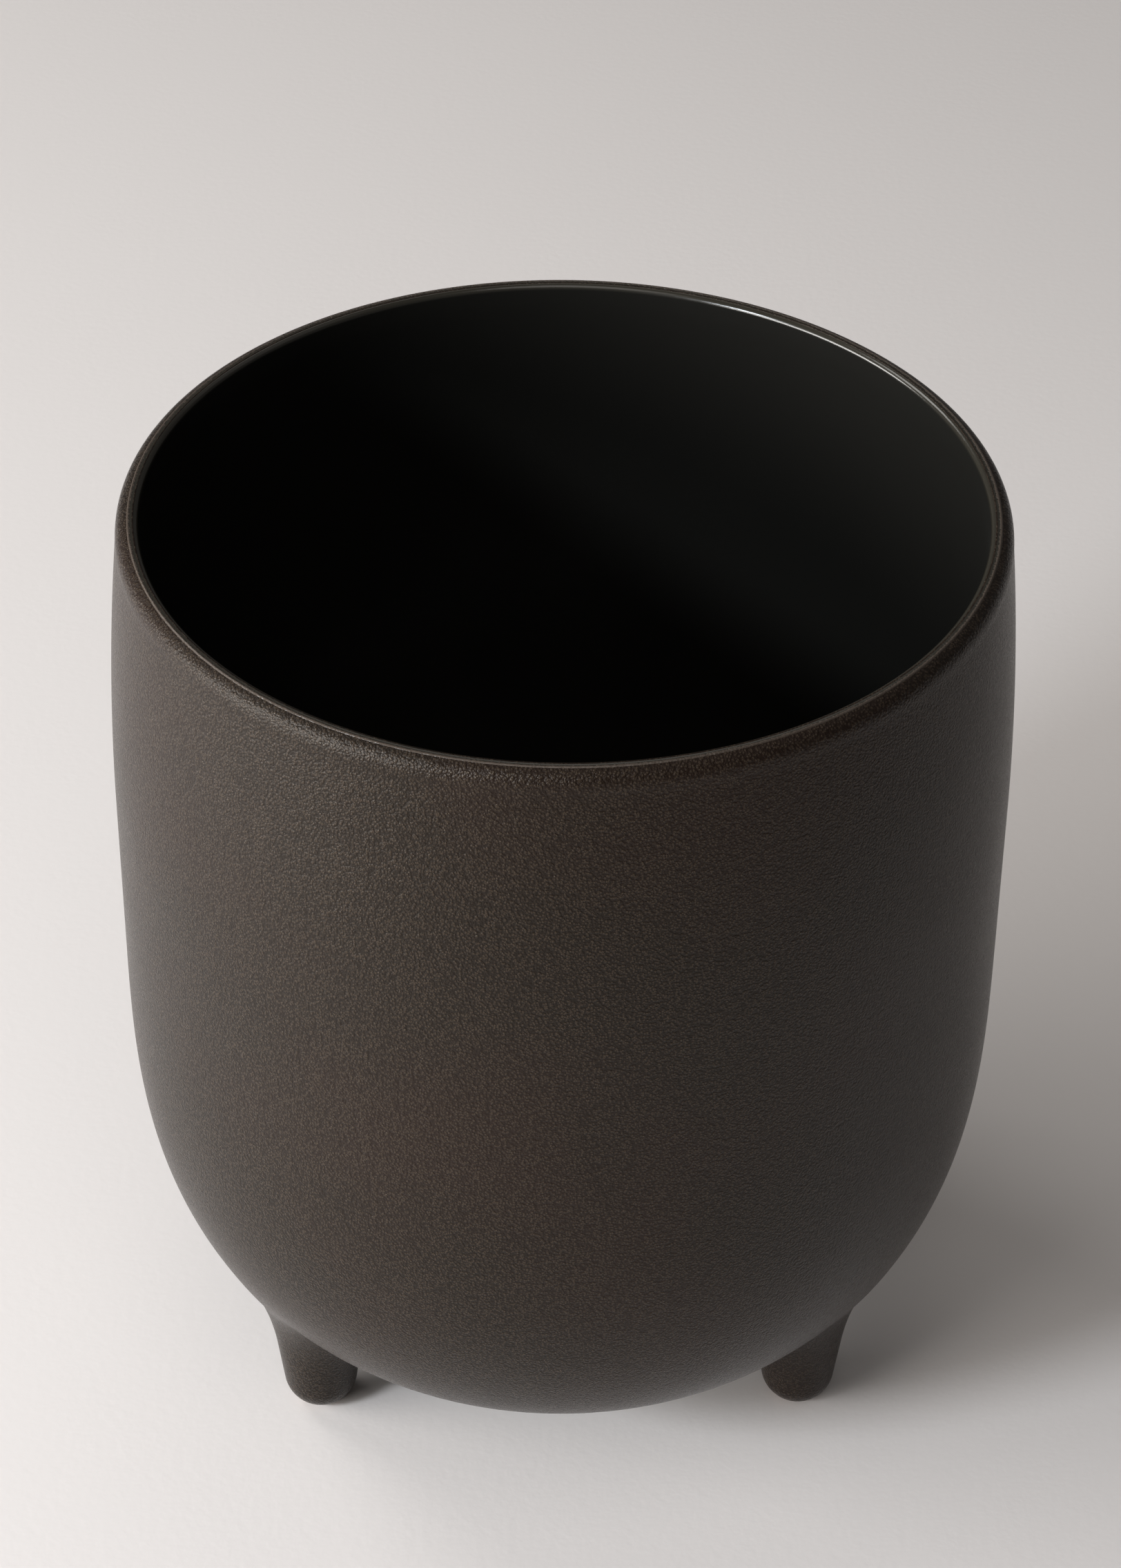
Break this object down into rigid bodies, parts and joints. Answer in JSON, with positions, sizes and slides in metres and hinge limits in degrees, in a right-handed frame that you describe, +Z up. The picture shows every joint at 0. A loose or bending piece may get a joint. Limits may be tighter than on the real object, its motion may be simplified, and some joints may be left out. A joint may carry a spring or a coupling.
{
  "type": "empty footed candle jar",
  "caption": "Round stoneware candle jar with a barrel side, a rounded bowl underneath, a dark glazed inside and short conical feet.",
  "frame": {"origin": "on the table under the middle of the jar", "axes": "+Z up along the jar's axis, out of its mouth; +Y towards the back foot, so the open side between the other two feet faces -Y"},
  "size_m": [0.1, 0.1, 0.118],
  "materials": {
    "outer_glaze": "fine pebbled brown-black satin glaze",
    "liner_glaze": "smooth black satin glaze"
  },
  "bodies": {
    "root": {"jar_shell": "outer_glaze", "liner_glaze": "liner_glaze", "foot_back": "outer_glaze", "foot_left": "outer_glaze", "foot_right": "outer_glaze", "luting_fillet_back": "outer_glaze", "luting_fillet_left": "outer_glaze", "luting_fillet_right": "outer_glaze"}
  },
  "joints": []
}
